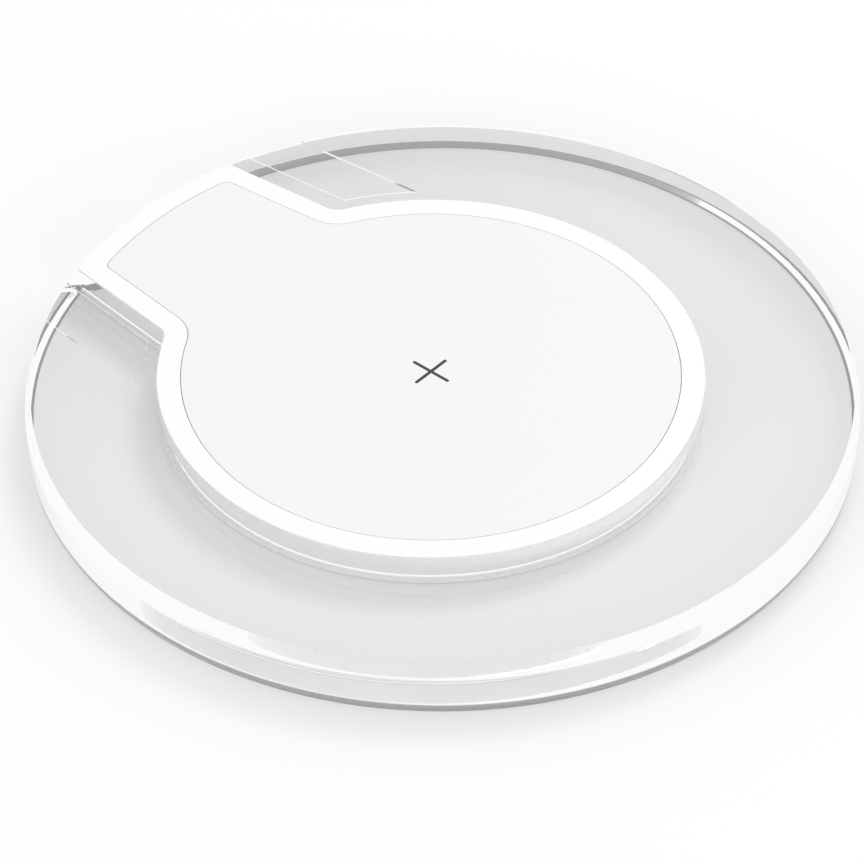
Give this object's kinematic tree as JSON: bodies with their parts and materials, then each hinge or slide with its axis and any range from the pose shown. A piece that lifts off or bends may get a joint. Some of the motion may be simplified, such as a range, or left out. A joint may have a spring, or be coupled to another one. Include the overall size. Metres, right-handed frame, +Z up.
{
  "type": "wireless charging pad",
  "caption": "Round wireless charging pad: a white keyhole-shaped case set in a clear acrylic ring, with a cable socket in the tab's end.",
  "frame": {"origin": "centre of the clear ring, on the surface that the rubber feet stand on", "axes": "+Z up out of the charging face, +Y out of the cable socket"},
  "size_m": [0.1, 0.0999, 0.0078],
  "materials": {
    "clear_acrylic": "polished, clear",
    "white_gloss": "gloss",
    "panel_white": "satin gloss",
    "case_white": "fine texture",
    "foot_rubber": "matt",
    "screw_steel": "machined",
    "label_film": "satin",
    "ferrite": "matt",
    "bond_film": "tacky",
    "copper_wire": "enamelled",
    "solder": "satin",
    "board_green": "solder mask",
    "chip_black": "moulded",
    "capacitor_tan": "ceramic",
    "resistor_black": "glazed",
    "lamp_lens": "clear moulded",
    "socket_steel": "plated",
    "tongue_black": "moulded",
    "contact_gold": "plated"
  },
  "bodies": {
    "root": {"clear_ring": "clear_acrylic", "top_cover": "white_gloss", "face_panel": "panel_white", "bottom_case": "case_white", "rubber_feet": "foot_rubber", "case_screws": "screw_steel", "bottom_label": "label_film", "ferrite_shield": "ferrite", "coil_bond_film": "bond_film", "roof_bond_film": "bond_film", "transmitter_coil": "copper_wire", "coil_lead_inner": "copper_wire", "coil_lead_outer": "copper_wire", "solder_pads": "solder", "main_pcb": "board_green", "controller_ic": "chip_black", "driver_mosfets": "chip_black", "resonant_capacitors": "capacitor_tan", "ceramic_capacitors": "capacitor_tan", "chip_resistors": "resistor_black", "led_left": "lamp_lens", "led_right": "lamp_lens", "usb_socket_shell": "socket_steel", "usb_socket_tongue": "tongue_black", "usb_contacts": "contact_gold"}
  },
  "joints": []
}
